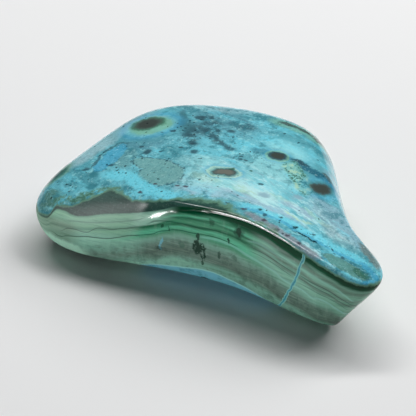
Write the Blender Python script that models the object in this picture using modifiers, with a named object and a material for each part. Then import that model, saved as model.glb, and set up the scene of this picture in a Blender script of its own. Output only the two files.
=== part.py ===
"""Polished freeform stone of chrysocolla over banded malachite.

One solid. A thick slab with a sharp crest along its cut face, which looks towards -Y, a nose
at its +X end and a broad rounded back. It lies on a small flat ground under its belly.
The origin is on the surface that it lies on, under the middle of its box.
Run it with: blender --background --python part.py
"""

from collections import namedtuple

import bmesh
import bpy
from mathutils import Matrix, Vector

MM = 0.001

# Driving dimensions, in millimetres.
DOME_RISE = 1.9  # how far the middle of the top stands above its crest
UNDERSIDE_BULGE = 3.4  # how far the underside hangs below its own rim before it is ground flat
SHOULDER_SLOPE = 0.12  # rise of the top just inside its edge, as a share of the distance
UNDER_IN = 3.5  # how far the underside's rim lies inside the foot
UNDER_DROP = 0.7  # and how far below it
ROUNDING_SHARE = 0.55  # the most of the side, from crest to belly, that the crest's rounding takes

# The cage is a box of GRID_X by GRID_Y cells, so its rim has 2 * (GRID_X + GRID_Y) stations.
GRID_X = 6
GRID_Y = 4
EVENING_ROUNDS = 30  # how often the caps' points are moved to the middle of their neighbours
SUBDIVISION = 2

# What is ground away lies in this box, whose top is the surface that the stone lies on.
GROUND_SIZE = (90.0, 65.0, 8.0)

STONE_COLOUR = (0.11, 0.34, 0.38, 1.0)
STONE_ROUGHNESS = 0.12

# One station of the rim, walked anticlockwise seen from above, from the front left corner.
# x, y: the widest line. crest_z, crest_in: height of the upper edge, and how far it lies inside
# the widest line. soft: how far the rounding of that edge reaches. foot_z, foot_in: the lower edge.
# belly: height of the widest line, as a share of the way from the foot up to the crest.
Station = namedtuple("Station", "x y crest_z crest_in soft foot_z foot_in belly")

RIM = (
    # cut face, left to right
    Station(-34.2, -25.0, 11.4, 5.0, 4.0, 2.4, 1.6, 0.5),
    Station(-24.0, -26.3, 13.2, 6.0, 3.6, 2.1, 0.6, 0.5),
    Station(-11.5, -23.4, 16.2, 5.0, 3.0, 2.0, 0.5, 0.57),
    Station(0.5, -21.7, 18.5, 1.9, 1.4, 2.0, 0.5, 0.5),
    Station(11.5, -21.8, 19.4, 1.9, 1.3, 1.9, 0.5, 0.5),
    Station(23.0, -24.6, 17.4, 1.7, 1.3, 1.6, 0.5, 0.5),
    Station(32.5, -25.9, 15.5, 1.6, 1.6, 0.6, 2.4, 0.6),
    # nose and hollow shoulder, front to back
    Station(39.0, -22.2, 12.7, 0.5, 2.0, 1.6, 9.4, 0.93),
    Station(37.7, -12.9, 13.6, 2.0, 2.4, 2.8, 7.2, 0.8),
    Station(29.2, -7.2, 14.8, 2.4, 2.4, 2.8, 3.6, 0.5),
    Station(23.4, 1.4, 16.0, 2.8, 2.8, 2.6, 3.2, 0.5),
    # rounded back, right to left
    Station(16.9, 13.1, 16.9, 3.6, 4.0, 2.8, 3.4, 0.5),
    Station(11.2, 23.3, 17.1, 4.4, 5.0, 3.0, 3.8, 0.5),
    Station(-1.9, 26.8, 17.0, 4.6, 5.0, 3.2, 4.0, 0.5),
    Station(-14.0, 25.8, 16.8, 4.6, 5.0, 3.2, 4.0, 0.5),
    Station(-25.9, 22.0, 16.4, 4.4, 5.0, 3.2, 3.8, 0.5),
    Station(-33.8, 13.2, 15.7, 4.2, 4.6, 3.2, 3.4, 0.5),
    # thin left end, back to front
    Station(-36.2, 1.6, 14.4, 4.0, 4.4, 3.2, 3.2, 0.5),
    Station(-38.8, -8.9, 13.2, 3.8, 4.2, 3.2, 3.0, 0.5),
    Station(-39.3, -18.0, 11.9, 3.6, 4.2, 3.2, 3.0, 0.5),
)


def clear_scene():
    for thing in list(bpy.data.objects):
        bpy.data.objects.remove(thing)


def new_collection(name):
    made = bpy.data.collections.new(name)
    bpy.context.scene.collection.children.link(made)
    return made


def inward(index):
    """Level direction from a station into the stone, square to the rim there."""
    before = RIM[index - 1]
    after = RIM[(index + 1) % len(RIM)]
    return Vector((before.y - after.y, after.x - before.x, 0.0)).normalized()


def rings():
    """The loops of points around the stone, from the top one down, each with one point a station."""
    made = [[] for _ in range(6)]
    for index, s in enumerate(RIM):
        into = inward(index)
        rim = Vector((s.x, s.y, 0.0))
        crest = rim + into * s.crest_in + Vector((0.0, 0.0, s.crest_z))
        foot = rim + into * s.foot_in + Vector((0.0, 0.0, s.foot_z))
        belly = rim + Vector((0.0, 0.0, s.foot_z + s.belly * (s.crest_z - s.foot_z)))
        shoulder = crest + into * s.soft + Vector((0.0, 0.0, SHOULDER_SLOPE * s.soft))
        face = crest.lerp(belly, min(ROUNDING_SHARE, s.soft / (crest - belly).length))
        under = foot + into * UNDER_IN - Vector((0.0, 0.0, UNDER_DROP))
        for ring, point in zip(made, (shoulder, crest, face, belly, foot, under)):
            ring.append(point)
    return made


def rim_cell(index):
    """Grid place (column, row) of a station."""
    if index <= GRID_X:
        return index, 0
    if index <= GRID_X + GRID_Y:
        return GRID_X, index - GRID_X
    if index <= 2 * GRID_X + GRID_Y:
        return 2 * GRID_X + GRID_Y - index, GRID_Y
    return 0, 2 * (GRID_X + GRID_Y) - index


def cap_points(ring, bulge):
    """A grid of points spanned by a ring: blended from its four sides, evened out, then bulged."""
    cap = {rim_cell(index): point for index, point in enumerate(ring)}
    inner = [(i, j) for i in range(1, GRID_X) for j in range(1, GRID_Y)]
    for i, j in inner:
        u, v = i / GRID_X, j / GRID_Y
        across = cap[0, j].lerp(cap[GRID_X, j], u)
        along = cap[i, 0].lerp(cap[i, GRID_Y], v)
        low = cap[0, 0].lerp(cap[GRID_X, 0], u)
        high = cap[0, GRID_Y].lerp(cap[GRID_X, GRID_Y], u)
        cap[i, j] = across + along - low.lerp(high, v)
    for _ in range(EVENING_ROUNDS):
        for i, j in inner:
            cap[i, j] = (cap[i - 1, j] + cap[i + 1, j] + cap[i, j - 1] + cap[i, j + 1]) / 4
    for i, j in inner:
        u, v = i / GRID_X, j / GRID_Y
        cap[i, j] = cap[i, j] + Vector((0.0, 0.0, bulge * 16 * u * (1 - u) * v * (1 - v)))
    return cap


def build_cage(mesh):
    """The coarse cage: five bands of faces around the side, a cap on top and a cap underneath."""
    work = bmesh.new()
    loops = rings()
    vert_loops = [[work.verts.new(p * MM) for p in loop] for loop in loops]
    count = len(RIM)
    for upper, lower in zip(vert_loops, vert_loops[1:]):
        for k in range(count):
            after = (k + 1) % count
            work.faces.new((upper[k], lower[k], lower[after], upper[after]))
    for ring_number, bulge in ((0, DOME_RISE), (-1, -UNDERSIDE_BULGE)):
        cap = cap_points(loops[ring_number], bulge)
        verts = {rim_cell(k): vert_loops[ring_number][k] for k in range(count)}
        for cell, point in cap.items():
            if cell not in verts:
                verts[cell] = work.verts.new(point * MM)
        for i in range(GRID_X):
            for j in range(GRID_Y):
                corners = (verts[i, j], verts[i + 1, j], verts[i + 1, j + 1], verts[i, j + 1])
                work.faces.new(corners if ring_number == 0 else corners[::-1])
    work.to_mesh(mesh)
    work.free()
    mesh.shade_smooth()


def polished_stone():
    material = bpy.data.materials.new("polished_chrysocolla")
    material.use_nodes = True
    shader = material.node_tree.nodes["Principled BSDF"]
    shader.inputs["Base Color"].default_value = STONE_COLOUR
    shader.inputs["Roughness"].default_value = STONE_ROUGHNESS
    shader.inputs["Metallic"].default_value = 0.0
    return material


def make_ground(collection):
    """The box that is ground away under the stone."""
    mesh = bpy.data.meshes.new("ground")
    work = bmesh.new()
    bmesh.ops.create_cube(work, size=1.0, matrix=Matrix.Diagonal((*GROUND_SIZE, 1.0)))
    bmesh.ops.translate(work, verts=work.verts, vec=(0.0, 0.0, -GROUND_SIZE[2] / 2))
    bmesh.ops.scale(work, verts=work.verts, vec=(MM, MM, MM))
    work.to_mesh(mesh)
    work.free()
    ground = bpy.data.objects.new("ground", mesh)
    ground.hide_render = True
    ground.display_type = "WIRE"
    collection.objects.link(ground)
    return ground


def centre_over_origin(stone):
    """Moves the cage level, so that the middle of the finished stone's box is over the origin."""
    finished = stone.evaluated_get(bpy.context.evaluated_depsgraph_get())
    corners = [Vector(corner) for corner in finished.bound_box]
    middle = sum(corners, Vector()) / len(corners)
    stone.data.transform(Matrix.Translation((-middle.x, -middle.y, 0.0)))


def main():
    clear_scene()
    stones = new_collection("chrysocolla_stone")
    cutters = new_collection("cutters")
    mesh = bpy.data.meshes.new("stone")
    build_cage(mesh)
    mesh.materials.append(polished_stone())
    stone = bpy.data.objects.new("stone", mesh)
    stones.objects.link(stone)

    rounding = stone.modifiers.new("rounding", "SUBSURF")
    rounding.levels = SUBDIVISION
    rounding.render_levels = SUBDIVISION
    grinding = stone.modifiers.new("grinding", "BOOLEAN")
    grinding.operation = "DIFFERENCE"
    grinding.solver = "EXACT"
    grinding.object = make_ground(cutters)
    centre_over_origin(stone)


main()
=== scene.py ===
import math

import bmesh
import bpy
from mathutils import Matrix, Quaternion, Vector
from mathutils.bvhtree import BVHTree


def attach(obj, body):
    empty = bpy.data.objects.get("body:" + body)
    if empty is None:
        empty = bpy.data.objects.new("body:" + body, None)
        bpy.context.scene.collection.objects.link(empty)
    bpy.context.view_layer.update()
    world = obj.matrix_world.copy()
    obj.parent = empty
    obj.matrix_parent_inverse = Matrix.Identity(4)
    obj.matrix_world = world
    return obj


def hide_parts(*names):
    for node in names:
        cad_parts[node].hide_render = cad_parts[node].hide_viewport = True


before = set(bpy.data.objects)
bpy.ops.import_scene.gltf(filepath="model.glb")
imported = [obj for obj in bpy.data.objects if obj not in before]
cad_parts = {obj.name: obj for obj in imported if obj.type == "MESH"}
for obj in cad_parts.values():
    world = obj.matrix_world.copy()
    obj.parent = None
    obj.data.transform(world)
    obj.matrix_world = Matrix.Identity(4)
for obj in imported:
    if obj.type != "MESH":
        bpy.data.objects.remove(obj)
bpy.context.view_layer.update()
print("frame loaded:", ", ".join(sorted(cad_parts)))

mm = 0.001


def linear(colour):  # a colour of 0 to 255 steps, as the shader wants it
    shares = [c / 255 for c in colour]
    return tuple(((c + 0.055) / 1.055) ** 2.4 if c > 0.04 else c / 12.92 for c in shares) + (1.0,)


class Wire:  # a socket of a node tree, so that sums on sockets read as sums
    def __init__(self, tree, socket=None):
        self.tree = tree
        self.socket = socket

    def add(self, kind, settings=(), sockets=(), out=0):  # any node, its settings first
        node = self.tree.nodes.new(kind)
        for name, value in dict(settings).items():
            if name == "stops":
                fillRamp(node.color_ramp, value)
            elif name == "bends":
                fillCurve(node.mapping, value)
            else:
                setattr(node, name, value)
        for key, value in dict(sockets).items():
            if isinstance(value, Wire):
                self.tree.links.new(value.socket, node.inputs[key])
            else:
                node.inputs[key].default_value = value
        return Wire(self.tree, node.outputs[out] if node.outputs else None)

    def maths(self, operation, *values):
        return self.add("ShaderNodeMath", {"operation": operation}, dict(enumerate(values)))

    def __add__(self, other):
        return self.maths("ADD", self, other)

    __radd__ = __add__

    def __sub__(self, other):
        return self.maths("SUBTRACT", self, other)

    def __rsub__(self, other):
        return self.maths("SUBTRACT", other, self)

    def __mul__(self, other):
        return self.maths("MULTIPLY", self, other)

    __rmul__ = __mul__

    def __truediv__(self, other):
        return self.maths("DIVIDE", self, other)

    def __rtruediv__(self, other):
        return self.maths("DIVIDE", other, self)


def fillRamp(ramp, stops):  # stops: (place, colour) or (place, colour, alpha)
    while len(ramp.elements) < len(stops):
        ramp.elements.new(0.5)
    for element, stop in zip(ramp.elements, stops):
        element.position = stop[0]
    for element, stop in zip(ramp.elements, stops):
        alpha = stop[2] if len(stop) > 2 else 1.0
        element.color = linear(stop[1])[:3] + (alpha,)


def fillCurve(mapping, bends):
    points = mapping.curves[0].points
    while len(points) < len(bends):
        points.new(0.5, 0.5)
    for point, (x, y) in zip(points, bends):
        point.location = (x, y)
    mapping.update()


def step(value, low, high):  # 0 below low, 1 above high, soft between them
    settings = {"interpolation_type": "SMOOTHSTEP"}
    return value.add("ShaderNodeMapRange", settings, {0: value, 1: low, 2: high})


def tint(base, colour, share, blend="MIX"):
    settings = {"data_type": "RGBA", "blend_type": blend}
    colour = colour if isinstance(colour, Wire) else linear(colour)
    base = base if isinstance(base, Wire) else linear(base)
    return share.add("ShaderNodeMix", settings, {0: share, 6: base, 7: colour}, out=2)


def cloud(place, size, detail=3.0, roughness=0.55, stretch=None, out=0):  # lumps of about size mm
    if stretch:  # along x, y and z, then its turn in degrees
        turned = {"Rotation": (0, 0, math.radians(stretch[3])), "Scale": stretch[:3]}
        place = place.add("ShaderNodeMapping", {"vector_type": "TEXTURE"}, {"Vector": place, **turned})
    sockets = {"Vector": place, "Scale": 1 / size, "Detail": detail, "Roughness": roughness}
    return place.add("ShaderNodeTexNoise", {}, sockets, out=out)


def warped(place, size, reach, detail=2.0):  # pushes the place about by up to half of reach
    noise = cloud(place, size, detail, out=1)
    sockets = {"Vector": noise, "Location": (-reach / 2,) * 3, "Scale": (reach,) * 3}
    push = place.add("ShaderNodeMapping", {"vector_type": "POINT"}, sockets)
    return place.add("ShaderNodeMapping", {"vector_type": "POINT"}, {"Vector": place, "Location": push})


stoneShape = {  # in mm where nothing else is said
    "weld": 0.01,
    "joinFaceAngle": 25,  # degrees, up to which two triangles become one quad
    "joinShapeAngle": 50,
    "smoothing": 2,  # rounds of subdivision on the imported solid
    "waveSize": 9.0,  # the lapidary's slight unevenness
    "waveDepth": 0.10,
    "waveDetail": 1.0,
    "rippleSize": 2.2,
    "rippleDepth": 0.016,
    "rippleDetail": 2.0,
    "noiseRoughness": 0.5,
    "pitCount": 0.05,  # pits per mm2
    "pitReach": 0.32,
    "pitDepth": 0.05,
    "seed": 7,
}


def mergedCopy(node, name):  # the CAD node's mesh as one closed skin of mostly quads
    work = bmesh.new()
    work.from_mesh(node.data)
    work.transform(node.matrix_world)
    bmesh.ops.remove_doubles(work, verts=work.verts, dist=stoneShape["weld"] * mm)
    bmesh.ops.join_triangles(
        work,
        faces=work.faces,
        angle_face_threshold=math.radians(stoneShape["joinFaceAngle"]),
        angle_shape_threshold=math.radians(stoneShape["joinShapeAngle"]),
    )
    mesh = bpy.data.meshes.new(name)
    work.to_mesh(mesh)
    work.free()
    made = bpy.data.objects.new(name, mesh)
    bpy.context.collection.objects.link(made)
    return made


def reliefTree(material):  # low unevenness and small pits, pushed inwards along the normals
    tree = bpy.data.node_groups.new("polishRelief", "GeometryNodeTree")
    face = tree.interface
    face.new_socket("Geometry", in_out="INPUT", socket_type="NodeSocketGeometry")
    measures = ["waveSize", "waveDepth", "rippleSize", "rippleDepth"]
    measures += ["pitCount", "pitReach", "pitDepth"]
    for name in measures:
        face.new_socket(name, in_out="INPUT", socket_type="NodeSocketFloat")
    face.new_socket("seed", in_out="INPUT", socket_type="NodeSocketInt")
    face.new_socket("Geometry", in_out="OUTPUT", socket_type="NodeSocketGeometry")
    wire = Wire(tree)
    entry = wire.add("NodeGroupInput").socket.node
    given = {socket.name: Wire(tree, socket) for socket in entry.outputs if socket.name}

    place = wire.add("GeometryNodeInputPosition")
    normal = wire.add("GeometryNodeInputNormal")

    def lumps(size, detail):
        sockets = {"Vector": place, "Scale": 1 / size, "Detail": detail}
        sockets["Roughness"] = stoneShape["noiseRoughness"]
        return wire.add("ShaderNodeTexNoise", {}, sockets)

    sink = (lumps(given["waveSize"], stoneShape["waveDetail"]) - 1.0) * given["waveDepth"]
    ripple = lumps(given["rippleSize"], stoneShape["rippleDetail"])
    sink = sink + (ripple - 1.0) * given["rippleDepth"]

    sockets = {"Mesh": given["Geometry"], "Density": given["pitCount"], "Seed": given["seed"]}
    points = wire.add("GeometryNodeDistributePointsOnFaces", {}, sockets)
    near = wire.add(
        "GeometryNodeProximity", {"target_element": "POINTS"}, {"Geometry": points}, out="Distance"
    )
    dip = wire.add(
        "ShaderNodeMapRange",
        {"interpolation_type": "SMOOTHSTEP"},
        {0: near, 1: given["pitReach"], 2: 0.0, 3: 0.0, 4: 1.0},
    )
    sink = sink - dip * given["pitDepth"]
    offset = wire.add("ShaderNodeVectorMath", {"operation": "SCALE"}, {0: normal, "Scale": sink})
    moved = wire.add("GeometryNodeSetPosition", {}, {"Geometry": given["Geometry"], "Offset": offset})
    sockets = {"Geometry": moved, "Name": "pit", "Value": dip}
    kind = {"data_type": "FLOAT", "domain": "POINT"}
    named = wire.add("GeometryNodeStoreNamedAttribute", kind, sockets)
    whole = wire.add("GeometryNodeRealizeInstances", {}, {"Geometry": named})
    dressed = wire.add("GeometryNodeSetMaterial", {}, {"Geometry": whole, "Material": material})
    wire.add("NodeGroupOutput", {}, {"Geometry": dressed})
    return tree


def polishedSkin(node, material):
    rough = mergedCopy(node, "rough")
    rounding = rough.modifiers.new("rounding", "SUBSURF")
    rounding.levels = stoneShape["smoothing"]
    rounding.render_levels = stoneShape["smoothing"]
    units = {"pitCount": 1 / mm**2, "seed": 1}  # all the others are lengths
    relief = rough.modifiers.new("relief", "NODES")
    relief.node_group = reliefTree(material)
    for socket in relief.node_group.interface.items_tree:
        if socket.in_out == "INPUT" and socket.name in stoneShape:
            relief[socket.identifier] = stoneShape[socket.name] * units.get(socket.name, mm)
    graph = bpy.context.evaluated_depsgraph_get()
    mesh = bpy.data.meshes.new_from_object(rough.evaluated_get(graph))
    mesh.name = "polishedStone"
    mesh.shade_smooth()
    bpy.data.objects.remove(rough)
    skin = bpy.data.objects.new("polishedStone", mesh)
    bpy.context.collection.objects.link(skin)
    return skin


palette = {  # every colour of the stone, in 0 to 255 steps
    "cyan": (114, 196, 210),
    "brightCyan": (118, 218, 236),
    "paleCyan": (160, 228, 232),
    "milk": (194, 240, 242),
    "teal": (84, 158, 170),
    "deepTeal": (58, 128, 140),
    "deepBlue": (72, 166, 202),
    "inkBlue": (36, 96, 118),
    "dusk": (96, 150, 164),
    "greyCyan": (118, 172, 170),
    "greyTeal": (104, 150, 150),
    "lavender": (172, 202, 218),
    "greyBlue": (142, 180, 194),
    "mauve": (136, 144, 152),
    "smoke": (54, 86, 96),
    "rust": (72, 66, 78),
    "ink": (14, 30, 36),
    "moss": (48, 98, 76),
    "yellowGreen": (132, 194, 166),
    "cream": (188, 222, 188),
    "umber": (66, 76, 72),
    "bark": (114, 118, 110),
    # painted highlight, for the pale arc on the top edge of the first eye
    "paintedHighlight": (176, 176, 172),
    # painted reflection: a pale veil standing in for the gloss of the bright surroundings on the rims
    # and the right of the top
    "sheen": (172, 204, 210),
    "rimGreen": (104, 150, 126),
    "noseGreen": (90, 136, 122),
    "slate": (50, 86, 78),
    "slateDark": (36, 68, 62),
    "slatePale": (88, 118, 108),
    "paleMint": (180, 232, 208),
    "mint": (166, 220, 198),
    "greyMint": (144, 200, 178),
    "leaf": (104, 200, 162),
    "jade": (82, 160, 124),
    "deepJade": (50, 120, 88),
    "bottle": (10, 88, 58),
    "night": (0, 66, 40),
    "greyJade": (128, 180, 160),
    "taupe": (114, 146, 132),
    "mud": (98, 122, 110),
    "crack": (14, 76, 56),
    "fracture": (28, 62, 48),
    "veinBlue": (92, 178, 192),
    "veinPale": (150, 210, 196),
    "footBlue": (120, 196, 212),
    "footPale": (160, 220, 216),
    "lowStain": (62, 84, 76),
    "paleLamina": (196, 236, 218),
    "laminaShade": (150, 184, 168),  # this and the next four only darken what is under them
    "smearShade": (176, 184, 176),
    "rightShade": (215, 220, 215),
    "leftShade": (200, 196, 190),
    "bevelShade": (212, 228, 216),
}

# soft clouds on the top: x, y, half-length, half-width, turn in degrees, colour, share
# the pale sheen clouds are painted reflection, a veil standing in for the gloss of the bright
# surroundings
clouds = (
    (-12, 11, 13, 8, 0, "dusk", 0.6),
    (-5.5, 12.8, 3.4, 2.0, -5, "smoke", 0.65),
    (-16, 18.5, 14, 3, 6, "sheen", 0.55),
    (4, 18.0, 9, 3.5, -12, "teal", 0.8),
    (-22, 0.5, 6, 4, 0, "dusk", 0.7),
    (9.5, 12.8, 7, 3.2, -20, "teal", 0.9),
    (5, 9.2, 7.5, 1.9, -8, "brightCyan", 0.6),
    (12, 9.0, 7, 1.4, -30, "cyan", 0.6),
    (16.5, 6.5, 4, 2.4, -50, "teal", 0.7),
    (28.5, -10.5, 5, 3.0, -45, "greyBlue", 0.7),
    (-1, 3, 9, 3.5, -10, "brightCyan", 0.4),
    (8, -1, 9, 5, -20, "paleCyan", 0.7),
    (3, -8.5, 14, 4.5, -8, "paleCyan", 0.9),
    (9, -9.5, 7, 2.6, -12, "milk", 0.85),
    (-3, -12.5, 7, 2.6, -14, "milk", 0.5),
    (6, -10.8, 4, 1.2, -12, "cream", 0.5),
    (13, -9.3, 3.6, 1.0, -14, "cream", 0.45),
    (-3, -9.3, 4, 1.6, -8, "cream", 0.45),
    (23, -7.5, 8, 4.0, -35, "greyBlue", 0.8),
    (27, -13.0, 6, 2.0, -28, "sheen", 0.75),
    (21, -10.2, 4, 1.0, -20, "cream", 0.4),
    (17.5, -10.8, 5, 1.2, -12, "lavender", 0.8),
    (10, -13.2, 12, 1.4, -6, "lavender", 0.75),
    (-1, -14.3, 7, 1.4, -4, "lavender", 0.6),
    (-22.5, -6.5, 3.0, 4.0, 0, "greyTeal", 0.65),
    (-28, -14, 3.4, 3.0, 0, "teal", 0.9),
    (-18, -15.5, 4.0, 1.2, -8, "teal", 0.7),
    (-33, -20.0, 3, 3.0, 0, "noseGreen", 0.85),
    (7.5, -18, 6, 1.3, -6, "teal", 0.8),
    (19.6, -2.6, 3.6, 1.3, -25, "brightCyan", 0.8),
    (24.6, -20.9, 3.4, 0.9, -14, "milk", 0.7),
    (-28, 10, 5, 7, 0, "sheen", 0.6),
    (7, 8.5, 5, 2.6, -10, "paleCyan", 0.7),
    (19, 4.5, 3.5, 2.5, -50, "greyBlue", 0.7),
    (-4, -4.5, 8, 2.6, -6, "paleCyan", 0.7),
    (12.5, 13.5, 5, 3, -40, "deepTeal", 0.7),
    (2, 19.5, 12, 2.5, -10, "dusk", 0.5),
    (34.5, -18.6, 6, 4.5, -15, "deepTeal", 0.85),
    (21, 2.5, 4.5, 2.4, -50, "sheen", 0.6),
    (30.5, -15.5, 5, 2, -20, "teal", 0.6),
)

# patches with a ragged, dotted edge: colour, share, share of the edge, then ellipses as in clouds
patches = (
    ("deepBlue", 0.7, 0.3, ((-26.0, -5.8, 2.0, 4.8, -4), (-26.6, -9.0, 1.8, 2.4, 0))),
    ("greyCyan", 0.85, 0.75, (
        (-15.2, -7.5, 6.0, 2.2, -8), (-11.4, -10.4, 3.9, 3.8, 0), (-14.0, -10.6, 3.2, 3.0, 0),
    )),
    ("teal", 0.6, 0.5, ((1.0, 0.2, 2.2, 1.5, 0),)),
    ("noseGreen", 0.8, 0.3, ((31.4, -21.0, 4.6, 2.0, -5),)),
    ("moss", 0.7, 0.4, ((34.4, -20.3, 1.7, 1.2, -10),)),
)

# streaks on the top: width, colour, share, then the points along it
streaks = (
    (3.2, "brightCyan", 0.9, ((-23.5, -12), (-18.5, -12), (-14, -15.3), (-10.5, -16.6), (-6.5, -17.6))),
    # painted reflection: a pale sheen along the left rim
    (4.4, "sheen", 0.65, (
        (-33.6, -9.5), (-31.6, -4.5), (-29.6, 1.2), (-29.6, 6.0), (-29.0, 11.0), (-25.5, 16.0),
    )),
    (2.6, "brightCyan", 0.8, ((8, -15.6), (14, -15.8), (20, -16.4), (27, -16.8), (34, -17.0))),
    (1.1, "deepBlue", 0.7, ((9, -16.3), (15, -16.6), (21, -17.4), (27, -17.9), (33, -17.6))),
    (2.2, "inkBlue", 0.85, ((10, 5.0), (14, 3.9), (17, 3.2), (20, 1.5))),
    (1.0, "umber", 0.7, ((16.5, 4.5), (19, 3.4))),
    (1.1, "smoke", 0.85, ((7.6, 4.9), (10.3, 5.4), (12.5, 4.9))),
    (2.0, "inkBlue", 0.55, ((1.6, 4.4), (4.2, 4.6))),
    (3.4, "yellowGreen", 0.55, ((0.5, 18.0), (4, 17.4), (8, 17.0), (12, 15.6))),
    (1.6, "umber", 0.85, ((1.5, 18.1), (5, 17.5), (8.5, 17.0), (11.6, 15.8))),
    (1.9, "mauve", 0.85, ((10.5, -18.3), (14.6, -19.4), (18.5, -20.1), (22.8, -21.6), (26, -22.4))),
    (0.5, "ink", 0.95, ((20.4, -17.8), (21.5, -18.2), (22.7, -18.0), (23.4, -18.5))),
    (0.5, "cream", 0.7, ((15.7, -12.4), (17.2, -13.1), (18.9, -14.1))),
    (0.7, "cream", 0.5, ((19.5, -13.6), (21, -13))),
    (2.0, "bark", 0.75, ((31.6, -12.2), (34.2, -14.1), (36.0, -16.0))),
    (1.2, "deepBlue", 0.7, ((33.5, -17.4), (36.2, -18.6), (37.4, -20.4), (36.0, -22.6))),
    (0.7, "smoke", 0.7, ((-28.6, -10.5), (-28.7, -5.5), (-27.4, -1.2), (-24.6, -0.4))),
    # painted highlight: a pale arc on the top edge of the first eye's core
    (0.8, "paintedHighlight", 0.6, ((-27.4, 6.8), (-25.6, 9.0), (-22.4, 10.6))),
)

# smoky branches: width, then the points along each
branches = (
    (3.0, ((-18.1, 9.9), (-14.9, 7.6), (-12.5, 7.3), (-9.9, 7.4))),
    (1.4, ((-19.3, 13.2), (-17.9, 10.5))),
    (2.0, ((-15, 7.5), (-14.5, 4.9), (-12.1, 3.8))),
    (1.5, ((-10, 7.4), (-8.2, 5.6), (-7.2, 4.4), (-4.5, 3.2), (-3, 2.6))),
    (1.8, ((-13, 10.6), (-10.6, 11.2), (-9.0, 9.4), (-9.2, 7.8))),
    (1.6, ((-12.4, 3.6), (-11.2, 1.8))),
)

# ringed eyes: x, y, half-length, half-width, turn, then the rings as place, colour and share.
# A ring at a third lies on the ellipse of those half-lengths.
eyes = (
    (-23.4, 6.4, 5.6, 3.9, 37, (
        (0.0, "yellowGreen", 0.85), (0.25, "yellowGreen", 0.75), (0.32, "cyan", 0.6),
        (0.38, "deepBlue", 0.55), (0.48, "teal", 0.4), (0.7, "teal", 0.0),
    )),
    (-24.5, 7.0, 3.7, 2.4, 36, (
        (0.0, "umber", 1), (0.18, "umber", 1), (0.25, "umber", 0.9), (0.33, "moss", 0.7),
        (0.42, "yellowGreen", 0.0),
    )),
    (-0.4, -6.2, 2.6, 1.5, 7, (
        (0.0, "bark", 1), (0.18, "bark", 1), (0.28, "umber", 0.9), (0.35, "moss", 0.5),
        (0.42, "cream", 0.5), (0.5, "deepBlue", 0.5), (0.66, "deepBlue", 0.0),
    )),
    (6.4, 4.6, 2.0, 1.75, 11, (
        (0.0, "umber", 1), (0.18, "umber", 1), (0.29, "smoke", 0.9), (0.38, "yellowGreen", 0.6),
        (0.46, "deepBlue", 0.4), (0.64, "teal", 0.0),
    )),
    (18.1, -0.6, 2.15, 1.8, 8, (
        (0.0, "umber", 1), (0.2, "umber", 1), (0.3, "umber", 0.9), (0.4, "deepTeal", 0.7),
        (0.55, "deepBlue", 0.4), (0.8, "deepBlue", 0.0),
    )),
    (-35.0, -13.2, 1.3, 3.0, -18, (
        (0.0, "umber", 0.9), (0.26, "moss", 0.8), (0.4, "rimGreen", 0.7), (0.6, "teal", 0.0),
    )),
)

# dark specks on the top: x, y, radius, colour
specks = (
    (-19.3, -3.4, 0.8, "smoke"), (-9.7, -1.0, 0.8, "smoke"), (-11.9, -13.8, 0.35, "rust"),
    (-5.5, -13.1, 0.4, "rust"), (-7, -13.6, 0.35, "rust"), (-13.5, -17, 0.35, "rust"),
    (7.7, -7.0, 0.5, "smoke"), (10, -10, 0.9, "greyBlue"), (11.4, -15.6, 0.4, "ink"),
    (5.2, -16.4, 0.35, "smoke"), (8.9, -16.9, 0.55, "rust"), (13, -16.7, 0.45, "smoke"),
    (19.3, -16.5, 0.45, "ink"), (24.2, -18.2, 0.4, "ink"), (16, -15.5, 0.4, "smoke"),
    (30.2, -18.6, 0.5, "smoke"), (23.2, -15.8, 0.35, "smoke"), (-29.5, -11, 0.6, "smoke"),
    (-25.3, -15.9, 1.0, "deepTeal"), (-27, -12.5, 0.9, "deepTeal"), (-24.5, -9, 0.5, "smoke"),
    (0.5, -0.4, 0.45, "smoke"), (1.6, -0.3, 0.35, "smoke"), (0.2, 0.8, 0.35, "smoke"),
    (4.4, -3.5, 0.35, "moss"), (0.5, -4.6, 0.5, "moss"), (17, -19.9, 0.5, "rust"),
    (19.5, -20.3, 0.4, "rust"), (22.3, -21.1, 0.5, "rust"), (13.8, -18.8, 0.4, "rust"),
    (-15, 12.5, 0.9, "smoke"), (-12.5, 13.2, 0.6, "smoke"), (-17.8, 5.6, 0.5, "smoke"),
    (-11.2, 1.8, 0.5, "smoke"), (-16.5, -2.6, 0.4, "smoke"), (-13.0, -0.4, 0.4, "smoke"),
    (-21.5, -1.8, 0.5, "smoke"), (15.7, -6.6, 0.9, "greyBlue"), (-6.2, 9.2, 0.7, "smoke"),
)

# where fine pepper gathers: x, y, half-length, half-width, turn, share of grains that show
pepper = (
    (-9.3, -15.9, 2.6, 1.2, -10, 0.75),
    (-2, -9.5, 6, 2.6, -8, 0.4),
    (-17.5, -8.5, 7, 5, 0, 0.3),
    (12.5, -0.6, 5.2, 1.7, -46, 0.5),
    (22, -17.3, 11, 1.5, -8, 0.5),
    (-12, 8, 9, 6, 0, 0.3),
    (3, 1.5, 5, 3, 0, 0.3),
    (-31, -18, 5, 4, 0, 0.3),
)


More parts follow.
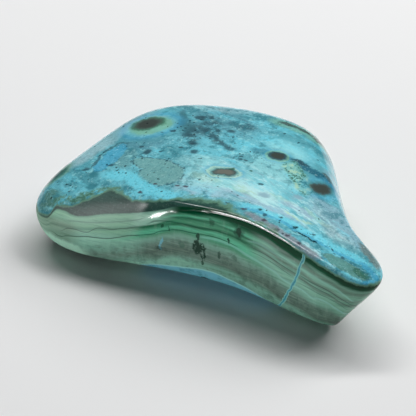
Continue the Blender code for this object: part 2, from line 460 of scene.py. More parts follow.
# how the top is mottled
topNoises = {  # size in mm, detail, roughness, and the stretch of those that run one way
    "flow": (3.4, 5.0, 0.62, (3.6, 1.0, 1.0, -17)),
    "threads": (1.0, 4.0, 0.7, (4.0, 1.0, 1.0, -17)),
    "lumps": (2.4, 5.0, 0.65),
    "fine": (0.9, 4.0, 0.7),
    "dust": (0.42, 2.0, 0.6),
    "broad": (7.0, 3.0, 0.5),
    "veils": (1.6, 4.0, 0.6),
    "haze": (2.6, 5.0, 0.65),
    "worms": (1.3, 2.0),
}
topWarps = {  # size and reach in mm, then detail
    "drift": (4.0, 4.0, 3.0),
    "ragged": (2.2, 1.7, 3.0),
    "raggedFine": (0.7, 0.6),
    "wild": (1.6, 2.4, 4.0),
    "worms": (1.2, 1.2),
    "haze": (2.4, 2.2),
}
topShows = {  # noise at which a mottling starts to show and is full, then its share
    "broadTeal": (0.48, 0.62, 0.8),
    "flowBright": (0.50, 0.64, 0.5),
    "flowTeal": (0.47, 0.34, 0.5),
    "threadMilk": (0.49, 0.62, 0.85),
    "threadGrey": (0.45, 0.33, 0.6),
    "lumpTeal": (0.50, 0.62, 0.7),
    "veilPale": (0.54, 0.68, 0.6),
    "fineInk": (0.53, 0.70, 0.45),
    "dustInk": (0.55, 0.72, 0.35),
    "dustMilk": (0.44, 0.28, 0.3),
    "patchDots": (0.42, 0.56, 1.0),
    "wormMoss": (0.50, 0.56, 0.9),
    "wormCream": (0.44, 0.38, 0.6),
    "growthGreen": (0.42, 0.52, 0.75),
    "growthMoss": (0.52, 0.60, 0.6),
    "hazeSmoke": (0.50, 0.64, 0.6),
    "branchSmoke": (0.34, 0.50, 0.85),
}
topDepths = {"cloud": 7.0, "patch": 6.0, "streak": 4.0, "eye": 3.0, "speck": 3.0, "pepper": 5.0}  # mm
topEdges = {  # shares of a mark's radii at which it starts and is full
    "cloud": (1.2, 0.5),
    "patch": (1.05, 0.9),
    "patchOutside": (1.14, 1.02),
    "patchInside": (0.86, 0.98),
    "streak": (1.35, 0.6),
    "speck": (1.45, 0.55),
    "pepper": (1.15, 0.6),
    "milky": (1.2, 0.5),
    "smooth": (1.2, 0.6),
    "yellow": (1.15, 0.75),
    "growth": (1.3, 0.6),
    "haze": (1.1, 0.5),
    "branch": (1.8, 0.35),
}
topPlaces = {
    "milky": (9, -9, 20, 7, 9, -14),  # x, y, half-length, half-width, depth, turn
    "smooth": (13, 9, 13, 10, 9, -40),
    "haze": (-12.5, 9.0, 11.0, 7.5, 8.0, -10),
    "yellow": (4.2, ((9.8, 3.0), (12, 1), (14.6, -1.4), (15.6, -3.0))),  # width, then points along it
    "growth": (3.0, ((-30.5, -20.8), (-27.6, -20.0), (-24.6, -18.6), (-22.0, -17.2), (-19.6, -16.1))),
}
topExtras = {
    "calming": 0.75,  # how much of the mottling the milky and the smooth places lose
    "yellowShare": 0.4,
    "wormsEnd": (0.63, 0.57),  # noise at which a dark worm's other edge is
    "speckStretch": 1.25,
    "speckTurn": 26,  # degrees
    "speckShare": 0.85,
}
pepperLook = {
    "grain": 0.8,  # mm between grains
    "least": 0.05,  # share of grains that show everywhere
    "radius": (0.14, 0.22),  # the smallest, and what luck adds to it
    "edge": (0.08, -0.06),
    "luckEdge": (0.02, -0.02),
    "share": 0.75,
}


rays = {
    "start": 0.1,  # metres, well outside the stone
    "missedHeight": 12.0,  # mm, where a ray passes the stone
    "missedFront": -24.0,
}


def heightOver(finder, x, y):  # mm, the top above a place
    hit = finder.ray_cast(Vector((x * mm, y * mm, rays["start"])), Vector((0, 0, -1)))[0]
    return hit.z / mm if hit else rays["missedHeight"]


def frontAt(finder, x, z):  # mm, how far forward the cut face is at a place
    hit = finder.ray_cast(Vector((x * mm, -rays["start"], z * mm)), Vector((0, 1, 0)))[0]
    return hit.y / mm if hit else rays["missedFront"]


def ball(place, centre, radii, turn=0.0, tip=0.0):  # 1 at an ellipsoid's centre, 0 from three radii out
    angles = (0, math.radians(tip), math.radians(turn))
    scale = tuple(3 * radius for radius in radii)
    sockets = {"Vector": place, "Location": centre, "Rotation": angles, "Scale": scale}
    inside = place.add("ShaderNodeMapping", {"vector_type": "TEXTURE"}, sockets)
    return place.add("ShaderNodeTexGradient", {"gradient_type": "SPHERICAL"}, {"Vector": inside}, out=1)


def within(value, outer, inner):  # 0 from outer radii out, 1 from inner radii in
    return step(value, 1 - outer / 3, 1 - inner / 3)


def shown(value, look):
    low, high, share = look
    return step(value, low, high) * share


def most(values):
    top = values[0]
    for value in values[1:]:
        top = top.maths("MAXIMUM", top, value)
    return top


def distance(value):
    return value.maths("ABSOLUTE", value)


drawnSpan = {"x": (-40.0, 40.0), "z": (0.0, 20.0), "top": 28.0}  # mm, what the drawn lines cover


def along(value, points, low, high, top):  # follows a drawn line, up to top high, from low to high
    bends = [((a - low) / (high - low), b / top) for a, b in points]
    bends = [(0.0, bends[0][1])] + bends + [(1.0, bends[-1][1])]
    share = (value - low) / (high - low)
    return value.add("ShaderNodeFloatCurve", {"bends": bends}, {"Factor": 1.0, "Value": share}) * top


def alongX(x, points):
    return along(x, points, *drawnSpan["x"], drawnSpan["top"])


def topBall(place, finder, x, y, long, wide, deep, turn):
    return ball(place, (x, y, heightOver(finder, x, y)), (long, wide, deep), turn)


def topBalls(place, finder, kind, ellipses):
    balls = []
    for x, y, long, wide, turn in ellipses:
        balls.append(topBall(place, finder, x, y, long, wide, topDepths[kind], turn))
    return most(balls)


def streakBall(place, finder, width, points):  # as ball, round a streak through these places on the top
    parts = []
    for (ax, ay), (bx, by) in zip(points, points[1:]):
        middle = ((ax + bx) / 2, (ay + by) / 2)
        reach = math.hypot(bx - ax, by - ay) / 2 + width / 2
        turn = math.degrees(math.atan2(by - ay, bx - ax))
        parts.append((*middle, reach, width / 2, turn))
    return topBalls(place, finder, "streak", parts)


def paintTop(place, finder):
    drift = warped(place, *topWarps["drift"])
    ragged = warped(warped(place, *topWarps["ragged"]), *topWarps["raggedFine"])
    flow = cloud(place, *topNoises["flow"])
    threads = cloud(place, *topNoises["threads"])
    lumps = cloud(place, *topNoises["lumps"])
    fine = cloud(place, *topNoises["fine"])
    dust = cloud(place, *topNoises["dust"])
    broad = cloud(place, *topNoises["broad"])
    veils = cloud(drift, *topNoises["veils"])
    milky = within(topBall(place, finder, *topPlaces["milky"]), *topEdges["milky"])
    smooth = within(topBall(place, finder, *topPlaces["smooth"]), *topEdges["smooth"])
    calm = 1 - most([milky, smooth]) * topExtras["calming"]

    blue = tint(palette["cyan"], palette["teal"], shown(broad, topShows["broadTeal"]))
    for *ellipse, colour, share in clouds:
        reach = topBalls(drift, finder, "cloud", [ellipse])
        blue = tint(blue, palette[colour], within(reach, *topEdges["cloud"]) * share)
    blue = tint(blue, palette["brightCyan"], shown(flow, topShows["flowBright"]))
    blue = tint(blue, palette["teal"], shown(flow, topShows["flowTeal"]) * calm)
    blue = tint(blue, palette["milk"], shown(threads, topShows["threadMilk"]) * milky)
    blue = tint(blue, palette["greyBlue"], shown(threads, topShows["threadGrey"]) * milky)
    blue = tint(blue, palette["deepTeal"], shown(lumps, topShows["lumpTeal"]) * calm)
    blue = tint(blue, palette["paleCyan"], shown(veils, topShows["veilPale"]) * calm)
    for colour, share, edgeShare, ellipses in patches:
        reach = topBalls(ragged, finder, "patch", ellipses)
        blue = tint(blue, palette[colour], within(reach, *topEdges["patch"]) * share)
        edge = within(reach, *topEdges["patchOutside"]) * within(reach, *topEdges["patchInside"])
        blue = tint(blue, palette["smoke"], edge * shown(fine, topShows["patchDots"]) * edgeShare)
    for width, colour, share, points in streaks:
        reach = streakBall(ragged, finder, width, points)
        blue = tint(blue, palette[colour], within(reach, *topEdges["streak"]) * share)

    blue = tint(blue, palette["inkBlue"], shown(fine, topShows["fineInk"]) * calm)
    blue = tint(blue, palette["inkBlue"], shown(dust, topShows["dustInk"]) * calm)
    blue = tint(blue, palette["milk"], shown(dust, topShows["dustMilk"]))
    blue = paintGrowths(blue, place, ragged, finder)
    blue = paintEyes(blue, ragged, finder)
    blue = paintSpecks(blue, ragged, finder)
    return paintPepper(blue, ragged, finder)


def paintGrowths(base, place, ragged, finder):  # yellow patch, mossy edge, smoky branches
    worms = cloud(warped(place, *topWarps["worms"]), *topNoises["worms"])
    zone = within(streakBall(ragged, finder, *topPlaces["yellow"]), *topEdges["yellow"])
    thin = step(worms, *topExtras["wormsEnd"])
    base = tint(base, palette["yellowGreen"], zone * topExtras["yellowShare"])
    base = tint(base, palette["moss"], zone * shown(worms, topShows["wormMoss"]) * thin)
    base = tint(base, palette["cream"], zone * shown(worms, topShows["wormCream"]))
    zone = within(streakBall(ragged, finder, *topPlaces["growth"]), *topEdges["growth"])
    base = tint(base, palette["rimGreen"], zone * shown(worms, topShows["growthGreen"]))
    base = tint(base, palette["moss"], zone * shown(worms, topShows["growthMoss"]))
    zone = within(topBall(ragged, finder, *topPlaces["haze"]), *topEdges["haze"])
    haze = cloud(warped(place, *topWarps["haze"]), *topNoises["haze"])
    base = tint(base, palette["smoke"], zone * shown(haze, topShows["hazeSmoke"]))
    wild = warped(place, *topWarps["wild"])
    arms = within(most([streakBall(wild, finder, *branch) for branch in branches]), *topEdges["branch"])
    return tint(base, palette["smoke"], arms * shown(haze, topShows["branchSmoke"]))


def paintEyes(base, ragged, finder):
    for *ellipse, rings in eyes:
        reach = 1 - topBalls(ragged, finder, "eye", [ellipse])
        stops = [(at, palette[colour], alpha) for at, colour, alpha in rings]
        ring = reach.add("ShaderNodeValToRGB", {"stops": stops}, {0: reach})
        share = reach.add("ShaderNodeValToRGB", {"stops": stops}, {0: reach}, out=1)
        base = tint(base, ring, share)
    return base


def paintSpecks(base, ragged, finder):
    for shade in sorted({speck[3] for speck in specks}):
        parts = []
        for x, y, radius, colour in specks:
            if colour == shade:
                parts.append((x, y, radius * topExtras["speckStretch"], radius, topExtras["speckTurn"]))
        reach = topBalls(ragged, finder, "speck", parts)
        base = tint(base, palette[shade], within(reach, *topEdges["speck"]) * topExtras["speckShare"])
    return base


def paintPepper(base, place, finder):
    shares = []
    for *ellipse, grains in pepper:
        reach = topBalls(place, finder, "pepper", [ellipse])
        shares.append(within(reach, *topEdges["pepper"]) * grains)
    share = place.maths("MAXIMUM", most(shares), pepperLook["least"])
    grid = {"Vector": place, "Scale": 1 / pepperLook["grain"], "Randomness": 1.0}
    gap = place.add("ShaderNodeTexVoronoi", {}, grid, out=0)
    cell = place.add("ShaderNodeTexVoronoi", {}, grid, out=1)
    luck = channelOf(cell, 0)
    smallest, added = pepperLook["radius"]
    radius = channelOf(cell, 1) * added + smallest
    dots = step(gap - radius, *pepperLook["edge"]) * step(luck - share, *pepperLook["luckEdge"])
    return tint(base, palette["ink"], dots * pepperLook["share"])


def channelOf(colour, channel):
    return colour.add("ShaderNodeSeparateColor", {}, {0: colour}, out=channel)


# where the layers lie: curves of points x, level, apart from faceLine and vein
strata = {
    "dip": 0.25,  # how far the layers fall for each mm towards the back
    "belowReach": 8.0,  # mm
    "faceLine": (
        (-38, 22), (-34, 25), (-24, 26), (-11.5, 23.4), (0.5, 21.7), (11.5, 21.8), (23, 24.4),
        (32.5, 25.6), (39, 22.2),
    ),
    "blueGrey": (
        (-32, 9.3), (-30.4, 11.8), (-28.3, 12.3), (-26.5, 12.9), (-25, 13.9), (-23.8, 14.7),
        (-22.4, 15.6), (-20.4, 16.9), (-18, 17), (-14.5, 16.5), (-11.5, 16.8), (-9, 17.5),
        (-6.4, 18.2), (-3.9, 19), (0, 19.5), (3.5, 19.8), (8, 19.6), (12, 19.3), (15, 19.1),
        (20, 18.1), (25, 16.8), (30, 15.5), (34, 14.2), (37, 13.3),
    ),
    "greyGreen": (
        (-32, 8.9), (-30, 11.2), (-28, 11.5), (-26, 11.3), (-23.4, 11.7), (-20.5, 12.6),
        (-17.5, 13.4), (-14.5, 14), (-10.4, 15), (-7.4, 16.1), (-4.2, 17.6), (0, 18.6), (5, 19.3),
        (10, 19.4), (15, 19.1), (20, 18.1), (25, 16.7), (30, 15.4), (34, 14.1), (37, 13.2),
    ),
    "crack": (
        (-30, 6.5), (-25, 7.35), (-20, 8), (-15, 8.85), (-12, 9.75), (-8, 11.1), (-5, 12.4),
        (-3, 12.9), (2, 13.1), (4, 13.45), (8, 13.35), (12, 12.3), (16, 11.45), (20, 10.1),
        (24, 9.7), (27, 8.6), (30, 8.4), (33, 6.5),
    ),
    "lowerBlue": (
        (-16, 0), (-10, 3.2), (-5, 4.1), (0, 4.8), (3, 5.2), (8, 4.6), (12, 3.8), (16, 2.5), (22, 0),
    ),
    "vein": (
        (1.5, 18.6), (2.8, 19.2), (4, 19.8), (5.5, 20.5), (6.8, 21), (8.5, 21.8), (10, 22.4),
        (11, 22.8), (13, 23.2), (15, 23.7), (16.3, 24),
    ),
}

# bands above the crack, from it (0) up to the top of the green (1).
# Each row: the x from which it starts and is full, then its stops.
bands = (
    # the first row, on the left slope, is partly the layers' pale tone and partly painted light: paler
    # where that slope is lit
    (-40.0, -30.0, (
        (0.0, "greyMint"), (0.18, "mint"), (0.32, "paleMint"), (0.41, "greyMint"),
        (0.55, "paleMint"), (0.75, "mint"), (0.9, "paleMint"), (1.0, "greyMint"),
    )),
    (-15.0, -9.5, (
        (0.0, "leaf"), (0.2, "leaf"), (0.31, "jade"), (0.37, "deepJade"), (0.42, "deepJade"),
        (0.48, "mint"), (0.66, "mint"), (0.78, "paleMint"), (1.0, "greyMint"),
    )),
    (-9.0, -3.0, (
        (0.0, "jade"), (0.18, "leaf"), (0.25, "deepJade"), (0.30, "deepJade"), (0.36, "jade"),
        (0.46, "jade"), (0.56, "deepJade"), (0.64, "leaf"), (0.69, "jade"), (0.76, "bottle"),
        (0.82, "night"), (1.0, "night"),
    )),
    (3.0, 9.0, (
        (0.0, "leaf"), (0.12, "leaf"), (0.22, "jade"), (0.31, "deepJade"), (0.38, "jade"),
        (0.45, "deepJade"), (0.52, "leaf"), (0.6, "jade"), (0.66, "deepJade"), (0.71, "bottle"),
        (0.77, "night"), (1.0, "night"),
    )),
    (11.0, 16.0, (
        (0.0, "greyJade"), (0.15, "greyMint"), (0.24, "greyJade"), (0.31, "taupe"),
        (0.38, "greyJade"), (0.46, "taupe"), (0.56, "greyMint"), (0.61, "greyJade"),
        (0.67, "taupe"), (0.72, "taupe"), (0.77, "bottle"), (0.82, "night"), (1.0, "night"),
    )),
    (22.0, 28.0, (
        (0.0, "greyJade"), (0.15, "greyMint"), (0.24, "greyJade"), (0.31, "taupe"),
        (0.38, "greyJade"), (0.46, "taupe"), (0.56, "greyMint"), (0.63, "greyJade"),
        (0.72, "taupe"), (0.80, "greyJade"), (0.87, "bottle"), (0.93, "night"), (1.0, "night"),
    )),
)
# the same below the crack, down from it over strata["belowReach"]
bandsBelow = (
    (-40.0, -30.0, (
        (0.0, "mint"), (0.12, "greyMint"), (0.3, "greyJade"), (0.5, "taupe"), (1.0, "greyMint"),
    )),
    (-20.0, -9.0, (
        (0.0, "leaf"), (0.12, "greyMint"), (0.3, "greyJade"), (0.5, "taupe"), (0.65, "greyJade"),
        (0.8, "mint"),
    )),
    (-13.0, -8.0, (
        (0.0, "jade"), (0.12, "greyJade"), (0.3, "taupe"), (0.5, "mud"), (0.65, "taupe"),
        (0.8, "greyMint"),
    )),
    (-2.0, 6.0, (
        (0.0, "leaf"), (0.12, "jade"), (0.25, "greyJade"), (0.45, "taupe"), (0.72, "mud"),
        (0.85, "greyJade"),
    )),
    (8.0, 20.0, (
        (0.0, "greyMint"), (0.12, "greyJade"), (0.25, "taupe"), (0.6, "mud"), (0.75, "greyJade"),
    )),
)


# lines along the layers: width, colour, share, then x and level along it
faceLines = (
    (0.36, "crack", 0.5, (
        (-10, 12.8), (-8.5, 13.6), (-6, 14.2), (-3, 14.5), (0, 14.6), (3, 15), (6, 15.05),
        (9, 14.9), (12, 14.2),
    )),
    (0.22, "slateDark", 0.5, (
        (-28, 7.6), (-26, 8.8), (-24.5, 8.9), (-22, 8.9), (-20.5, 9.9), (-19.5, 10.3), (-17, 10.5),
        (-15, 10.9), (-13, 11.4), (-11.5, 11.9),
    )),
    (0.25, "slate", 0.3, ((-27, 10.2), (-22, 10.9), (-17, 11.9), (-12, 13.2), (-10, 14))),
    (0.2, "moss", 0.4, (
        (-2, 16.2), (2, 16.1), (6, 16.3), (10, 15.9), (13, 15.2), (17, 14.9), (21, 14.3),
    )),
    (0.22, "slateDark", 0.5, ((12, 14.1), (15, 13.8), (18, 13.3), (21, 12.7), (23.4, 12.4))),
    (0.2, "slateDark", 0.45, ((12, 13.1), (16, 12.8), (18, 12.5), (20, 12), (22.4, 11.5))),
    (0.22, "slateDark", 0.55, ((23.2, 12.5), (26, 12), (29, 11.7), (31, 11.1), (33, 10), (35, 8.6))),
    (0.2, "slateDark", 0.5, ((23, 11.8), (27, 11.3), (29.5, 10.9), (31.5, 10), (33.5, 8.7), (35, 7.4))),
    (0.2, "slateDark", 0.4, ((23, 10.9), (28, 10.2), (30, 9.9), (32, 9), (34, 7.4))),
    (0.5, "veinPale", 0.45, ((23, 14.0), (26, 13.5), (29, 12.9), (31, 12.4), (33, 11.3), (35, 9.8))),
    (0.45, "veinPale", 0.4, ((11, 15.0), (14, 15.3), (17, 14.9), (20, 14.6), (23, 14.2))),
    (0.5, "footPale", 0.35, (
        (1, 12.8), (3, 13.05), (6, 13.2), (8, 13), (10, 12.5), (12, 12), (14, 11.6), (16, 11.2),
        (18, 10.9), (19, 10.4), (20, 10), (22, 9.8), (24, 9.6), (25.5, 9.1), (26.5, 8.7), (28, 9),
        (29.5, 8.8), (31, 8), (32, 7.2), (33.5, 6.2),
    )),
    (0.22, "crack", 0.7, (
        (-30, 6.8), (-28, 6.4), (-26.5, 6.9), (-24, 7.5), (-22, 8), (-20, 8.2), (-18, 8.4),
        (-15.5, 9), (-13.5, 9.7), (-12, 10), (-10, 10.5), (-8, 11.2), (-7, 11.9), (-5.5, 12.4),
        (-4, 12.9), (-2.5, 13.15), (0, 13.2), (3, 13.6), (7, 13.55), (10, 13.1),
    )),
)


# marks on the cut face: x, z, half-width, half-height, tip in degrees, colour, share
faceMarks = (
    (9.7, 15.9, 0.9, 1.3, 0, "crack", 0.6),
    (9.7, 16.0, 0.5, 0.95, 0, "fracture", 0.9),
    (3.7, 16.2, 0.5, 0.8, 0, "fracture", 0.5),
    (7.8, 13.6, 0.25, 0.6, 10, "fracture", 0.9),
    (5.8, 9.8, 0.35, 0.8, 0, "fracture", 0.7),
    (9.2, 10.2, 0.5, 0.6, 0, "fracture", 0.4),
    (-6.6, 13.0, 0.3, 0.5, 0, "fracture", 0.7),
    (-5.2, 12.7, 0.15, 0.5, 0, "fracture", 0.6),
    (-2.0, 10.0, 0.8, 0.7, 0, "moss", 0.5),
    (-6.4, 9.2, 0.25, 1.3, 0, "footBlue", 0.8),
    (-6.6, 8.3, 0.45, 0.5, 0, "fracture", 0.6),
    # the next mark is painted light: a pale patch standing in for the bright floor reflected on the
    # lower left
    (-29.0, 3.6, 7.0, 2.0, 0, "paleMint", 0.7),
    (1.1, 12.4, 0.3, 0.9, 0, "fracture", 0.9),
    (2.4, 7.0, 0.25, 0.5, 0, "fracture", 0.8),
)

faceNoises = {  # size in mm, detail, roughness, and the stretch of those that aren't even
    "wobble": (7.0, 4.0, 0.55, (2.0, 1.0, 0.7, 0)),
    "ripple": (1.3, 2.0, 0.55, (2.5, 1.0, 1.0, 0)),
    "laminae": (0.36, 3.0, 0.7),
    "smears": (0.9, 4.0, 0.6),
    "mottle": (1.7, 5.0, 0.65),
    "grain": (0.5, 3.0, 0.7),
    "rag": (1.5, 4.0, 0.6),
    "foot": (2.2, 4.0),
    "holes": (0.9, 4.0, 0.6),
    "sway": (1.2, 4.0),
    "polish": (1.1, 4.0, 0.65),
}
faceWarps = {"marks": (1.5, 1.6, 3.0), "marksFine": (0.6, 0.5)}  # size and reach in mm, then detail
faceShows = {  # value at which something starts to show and is full, then its share
    "mottle": (0.46, 0.66, 0.4),
    "laminaShade": (0.50, 0.66, 0.35),
    "laminaPale": (0.46, 0.30, 0.16),
    "smearShade": (0.46, 0.72, 0.18),
    "smearPale": (0.46, 0.30, 0.08),
    "slateDark": (0.45, 0.62, 0.7),
    "slatePale": (0.52, 0.70, 0.5),
    "foot": (0.50, 0.70, 0.6),
    "holes": (0.38, 0.50, 1.0),
    "rim": (0.38, 0.05, 0.75),  # this and the next ones are in mm from a line
    "veinEdge": (0.46, 0.32, 0.8),
    "vein": (0.3, 0.2, 0.9),
    "veinCore": (0.16, 0.06, 0.8),
    "pits": (0.4, 0.9, 0.5),  # of the dip that the relief leaves
}
faceSteps = {  # mm, from and to
    "belowCrack": (0.05, -0.05),  # over the crack
    "mottle": (-0.8, -2.4),
    "smears": (1.5, -1.5),
    "slate": (-0.12, 0.2),  # over the green
    "blue": (-0.12, 0.18),  # over the slate
    "footEdge": (-0.45, -0.12),  # under the green
    "foot": (-0.1, 0.15),
    "rightShade": (24.0, 33.0),  # along x
    "leftShade": (-22.0, -26.5),
    "bevelShade": (-10.0, -15.0),
    "dull": (-9.5, -13.5),
    "leftLevel": (10.5, 9.0),  # of level
    "bevelLevel": (8.5, 10.0),
    "front": (-14.0, -17.0),  # along y
}
faceAmounts = {
    "wobble": 0.7,  # mm, how much the layers wander
    "ripple": 0.14,
    "sheetSpread": 0.06,  # how much the laminae change along the face, as a share of across it
    "smearSpread": (1.0, 0.2, 0.25),  # the same for the smears, along x, y and z
    "bandJitter": 0.03,
    "belowJitter": 0.05,
    "paleTop": (0.8, 0.66),  # how far up the bands the pale laminae go
    "fineRag": 0.25,  # how ragged the slate's and the foot's edges are, as a share of the blue's
    "sway": 0.9,  # mm, how much the vein wanders
    "coreSway": 0.6,
    "lineEdge": (0.7, 0.25),  # shares of a line's width at which it starts and is full
    "lineFade": (0.5, 1.5),  # mm, outside and inside a line's end
    "markEdge": (1.3, 0.8),  # shares of a mark's radii at which it starts and is full
    "fractureEdge": (1.25, 0.85),
    "footPitEdge": (1.2, 0.8),
    "footPitShare": 0.9,
    "markDepth": 3.0,  # mm
}
fractures = ((0.9, 10.4, 0.65, 1.5, 0), (2.2, 9.6, 0.8, 1.9, -12))  # x, z, half-width, half-height, tip
footPit = (2.2, 2.5, 0.75, 0.45, 2.0)  # x, z, half-width, half-height, depth
polish = {
    "roughness": 0.05,
    "uneven": 0.08,
    "inPits": 0.3,
    "dull": 0.42,  # at the left, where the cut face is less polished
    "specular": 0.2,
}


def faceBall(place, finder, x, z, wide, tall, tip, deep=faceAmounts["markDepth"]):
    return ball(place, (x, frontAt(finder, x, z), z), (wide, deep, tall), 0, tip)


def bandsAcross(value, x, rows):  # blends the rows of stops from left to right
    colour = None
    for start, end, stops in rows:
        stops = [(at, palette[name]) for at, name in stops]
        row = value.add("ShaderNodeValToRGB", {"stops": stops}, {0: value})
        colour = tint(colour, row, step(x, start, end)) if colour else row
    return colour


def paintLines(base, x, level):
    outer, inner = faceAmounts["lineEdge"]
    past, inside = faceAmounts["lineFade"]
    for width, colour, share, points in faceLines:
        line = step(distance(level - alongX(x, points)), width * outer, width * inner)
        left, right = points[0][0], points[-1][0]
        ends = step(x, left - past, left + inside) * step(x, right + past, right - inside)
        base = tint(base, palette[colour], line * ends * share)
    return base


def paintFaceMarks(base, place, x, y, z, finder):
    rough = warped(warped(place, *faceWarps["marks"]), *faceWarps["marksFine"])
    for *spot, colour, share in faceMarks:
        mark = within(faceBall(rough, finder, *spot), *faceAmounts["markEdge"])
        base = tint(base, palette[colour], mark * share)
    holes = shown(cloud(place, *faceNoises["holes"]), faceShows["holes"])
    breaks = most([faceBall(rough, finder, *spot) for spot in fractures])
    base = tint(base, palette["fracture"], within(breaks, *faceAmounts["fractureEdge"]) * holes)

    front = step(y, *faceSteps["front"])
    sway = (cloud(place, *faceNoises["sway"]) - 0.5) * faceAmounts["sway"]
    line = along(z, strata["vein"], *drawnSpan["z"], drawnSpan["top"])
    off = distance(x + sway - line)
    core = off + distance(sway) * faceAmounts["coreSway"]
    base = tint(base, palette["veinPale"], shown(off, faceShows["veinEdge"]) * front)
    base = tint(base, palette["veinBlue"], shown(off, faceShows["vein"]) * front)
    return tint(base, palette["deepTeal"], shown(core, faceShows["veinCore"]) * front)


def paintGreen(place, x, y, z, level, laminae, greenTop, finder):
    crack = alongX(x, strata["crack"])
    over = level - crack
    share = over / (greenTop - crack)
    wander = laminae - 0.5
    green = bandsAcross(share + wander * faceAmounts["bandJitter"], x, bands)
    down = over * (-1 / strata["belowReach"]) + wander * faceAmounts["belowJitter"]
    below = bandsAcross(down, x, bandsBelow)
    mottle = shown(cloud(place, *faceNoises["mottle"]), faceShows["mottle"])
    below = tint(below, palette["lowStain"], mottle * step(over, *faceSteps["mottle"]))
    green = tint(green, below, step(over, *faceSteps["belowCrack"]))

    spread = faceAmounts["smearSpread"]
    smears = {0: x * spread[0], 1: y * spread[1], 2: z * spread[2]}
    smears = cloud(place.add("ShaderNodeCombineXYZ", {}, smears), *faceNoises["smears"])
    leftLow = step(x, *faceSteps["leftShade"]) * step(level, *faceSteps["leftLevel"])
    bevelHigh = step(x, *faceSteps["bevelShade"]) * step(level, *faceSteps["bevelLevel"])
    shades = (
        ("laminaShade", shown(laminae, faceShows["laminaShade"])),
        ("smearShade", shown(smears, faceShows["smearShade"]) * step(over, *faceSteps["smears"])),
        ("rightShade", step(x, *faceSteps["rightShade"])),
        ("leftShade", leftLow),
        ("bevelShade", bevelHigh),
    )
    for colour, shade in shades:
        green = tint(green, palette[colour], shade, "MULTIPLY")
    pale = shown(laminae, faceShows["laminaPale"]) + shown(smears, faceShows["smearPale"])
    green = tint(green, palette["paleLamina"], pale * step(share, *faceAmounts["paleTop"]))
    green = paintLines(green, x, level)
    return paintFaceMarks(green, place, x, y, z, finder)


def paintStone(material, finder):
    tree = material.node_tree
    shader = tree.nodes["Principled BSDF"]
    wire = Wire(tree)
    metres = wire.add("ShaderNodeTexCoord", {}, {}, out="Object")
    inMm = {"Vector": metres, "Scale": (1 / mm,) * 3}
    place = wire.add("ShaderNodeMapping", {"vector_type": "POINT"}, inMm)
    x, y, z = (wire.add("ShaderNodeSeparateXYZ", {}, {0: place}, out=axis) for axis in range(3))

    blue = paintTop(place, finder)

    # the layers, by a level that runs across them
    wobble = (cloud(place, *faceNoises["wobble"]) - 0.5) * faceAmounts["wobble"]
    ripple = (cloud(place, *faceNoises["ripple"]) - 0.5) * faceAmounts["ripple"]
    level = z + (y + alongX(x, strata["faceLine"])) * strata["dip"] + wobble + ripple
    greenTop = alongX(x, strata["greyGreen"])
    spread = faceAmounts["sheetSpread"]
    sheets = wire.add("ShaderNodeCombineXYZ", {}, {0: x * spread, 1: y * spread, 2: level})
    laminae = cloud(sheets, *faceNoises["laminae"])
    green = paintGreen(place, x, y, z, level, laminae, greenTop, finder)

    # the slate layer between them, with its green rim
    grain = cloud(place, *faceNoises["grain"])
    slate = tint(palette["slate"], palette["slateDark"], shown(laminae, faceShows["slateDark"]))
    slate = tint(slate, palette["slatePale"], shown(grain, faceShows["slatePale"]))
    rag = cloud(place, *faceNoises["rag"]) - 0.5
    fineRag = rag * faceAmounts["fineRag"]
    upper = level + rag - alongX(x, strata["blueGrey"])
    isBlue = step(upper, *faceSteps["blue"])
    colour = tint(green, slate, step(level + fineRag - greenTop, *faceSteps["slate"]))
    colour = tint(colour, blue, isBlue)
    colour = tint(colour, palette["rimGreen"], shown(distance(upper), faceShows["rim"]))

    # blue again under the green
    foot = alongX(x, strata["lowerBlue"]) - level - fineRag
    colour = tint(colour, palette["footPale"], step(foot, *faceSteps["footEdge"]))
    stain = shown(cloud(place, *faceNoises["foot"]), faceShows["foot"])
    low = tint(palette["footBlue"], palette["deepTeal"], stain)
    colour = tint(colour, low, step(foot, *faceSteps["foot"]))
    hollow = faceBall(place, finder, *footPit[:4], 0, footPit[4])
    hollow = within(hollow, *faceAmounts["footPitEdge"]) * faceAmounts["footPitShare"]
    colour = tint(colour, palette["ink"], hollow)

    dips = wire.add("ShaderNodeAttribute", {"attribute_name": "pit"}, {}, out="Fac")
    colour = tint(colour, palette["ink"], shown(dips, faceShows["pits"]))
    fine = cloud(place, *faceNoises["polish"])
    dull = (1 - isBlue) * step(x, *faceSteps["dull"])
    rough = fine * polish["uneven"] + polish["roughness"]
    rough = rough + dips * polish["inPits"] + dull * polish["dull"]
    tree.links.new(colour.socket, shader.inputs["Base Color"])
    tree.links.new(rough.socket, shader.inputs["Roughness"])
    shader.inputs["Specular IOR Level"].default_value = polish["specular"]


def newMaterial(name):
    made = bpy.data.materials.new(name)
    made.use_nodes = True
    return made


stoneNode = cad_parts["stone"]
stoneMaterial = newMaterial("polishedChrysocolla")
skin = polishedSkin(stoneNode, stoneMaterial)
finder = BVHTree.FromObject(skin, bpy.context.evaluated_depsgraph_get())
paintStone(stoneMaterial, finder)
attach(skin, "root")
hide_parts("stone")
print("stone made:", len(skin.data.polygons), "faces")


stageSetup = {
    "floorReach": 1.5,  # metres
    "floorColour": (236, 236, 236),
    "floorRoughness": 0.7,
    "floorSpecular": 0.0,
    # name, degrees round, up and of roll, metres away, width and height, watts,
    # then whether it lights matt surfaces, and whether it shows in polished ones
    "lamps": (
        ("keyStrip", 210.0, 55.5, 0.0, 1.4, 1.30, 0.16, 12.6, True, True),
        ("sideSoftbox", 149.0, 42.0, 0.0, 1.4, 0.83, 0.85, 14.2, True, False),
        ("frontFill", -24.0, 3.0, 0.0, 1.4, 1.3, 0.11, 7.0, True, False),
        ("crestCard", 319.0, 46.0, -40.0, 1.4, 0.34, 0.24, 32.0, False, True),
        ("edgeCard", 329.0, 19.0, 0.0, 1.4, 0.10, 0.12, 3.0, False, True),
    ),
    "worldColour": (196, 220, 236),
    "worldPower": 0.03,
}

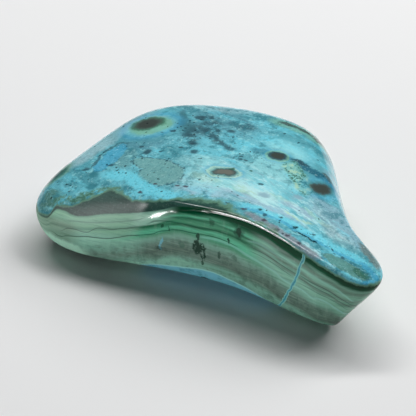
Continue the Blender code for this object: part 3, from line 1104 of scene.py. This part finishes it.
cameraSetup = {
    "turn": 26.0,  # degrees
    "lift": 34.0,
    "lens": 135.0,  # mm
    "away": 0.318,  # metres
    "target": (-0.0047, -0.0048, 0.0076),
}


def outward(turn, lift):  # the direction of something seen round and up by so many degrees
    a, e = math.radians(turn), math.radians(lift)
    return Vector((math.sin(a) * math.cos(e), -math.cos(a) * math.cos(e), math.sin(e)))


def makeFloor():
    reach = stageSetup["floorReach"]
    mesh = bpy.data.meshes.new("floor")
    corners = [(-reach, -reach, 0), (reach, -reach, 0), (reach, reach, 0), (-reach, reach, 0)]
    mesh.from_pydata(corners, [], [(0, 1, 2, 3)])
    floor = bpy.data.objects.new("floor", mesh)
    bpy.context.collection.objects.link(floor)
    material = newMaterial("paleFloor")
    shader = material.node_tree.nodes["Principled BSDF"]
    shader.inputs["Base Color"].default_value = linear(stageSetup["floorColour"])
    shader.inputs["Roughness"].default_value = stageSetup["floorRoughness"]
    shader.inputs["Specular IOR Level"].default_value = stageSetup["floorSpecular"]
    mesh.materials.append(material)


def makeLamp(name, turn, lift, roll, reach, width, height, power, diffuse, glossy):
    data = bpy.data.lights.new(name, "AREA")
    data.shape = "RECTANGLE"
    data.size = width
    data.size_y = height
    data.energy = power
    lamp = bpy.data.objects.new(name, data)
    bpy.context.collection.objects.link(lamp)
    back = outward(turn, lift)
    lamp.location = back * reach
    facing = back.to_track_quat("Z", "Y") @ Quaternion((0, 0, 1), math.radians(roll))
    lamp.rotation_euler = facing.to_euler()
    lamp.visible_diffuse = diffuse
    lamp.visible_glossy = glossy


def makeWorld():
    world = bpy.data.worlds.new("studio")
    bpy.context.scene.world = world
    world.use_nodes = True
    back = world.node_tree.nodes["Background"]
    back.inputs["Color"].default_value = linear(stageSetup["worldColour"])
    back.inputs["Strength"].default_value = stageSetup["worldPower"]


def makeCamera():
    data = bpy.data.cameras.new("camera")
    data.lens = cameraSetup["lens"]
    camera = bpy.data.objects.new("camera", data)
    bpy.context.collection.objects.link(camera)
    bpy.context.scene.camera = camera
    back = outward(cameraSetup["turn"], cameraSetup["lift"])
    a = math.radians(cameraSetup["turn"])
    right = Vector((math.cos(a), math.sin(a), 0.0))
    camera.location = Vector(cameraSetup["target"]) + back * cameraSetup["away"]
    camera.rotation_euler = Matrix((right, back.cross(right), back)).transposed().to_euler()


makeFloor()
for lamp in stageSetup["lamps"]:
    makeLamp(*lamp)
makeWorld()
makeCamera()
bpy.context.scene.view_settings.view_transform = "Standard"
print("floor, light and camera made")
